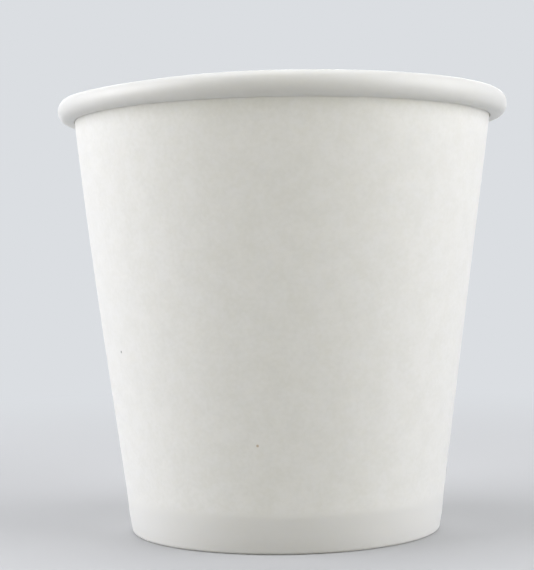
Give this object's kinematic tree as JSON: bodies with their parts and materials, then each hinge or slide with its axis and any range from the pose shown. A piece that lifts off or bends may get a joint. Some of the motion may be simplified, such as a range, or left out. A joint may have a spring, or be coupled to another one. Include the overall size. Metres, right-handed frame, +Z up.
{
  "type": "paper cup",
  "caption": "Small tapered single-wall paper cup with a rolled rim, a lapped side seam and a recessed base held in a folded foot.",
  "frame": {"origin": "on the table plane, at the centre of the foot ring", "axes": "+Z up along the axis of the cup towards its mouth, -Y towards the viewer of the picture, lap seam of the wall on +Y"},
  "size_m": [0.0624, 0.0624, 0.0595],
  "materials": {
    "wall_board": "matt uncoated white paperboard outside, thin sealing film inside",
    "base_board": "matt uncoated white paperboard below, thin sealing film above"
  },
  "bodies": {
    "root": {"side_wall": "wall_board", "base_disc": "base_board"}
  },
  "joints": []
}
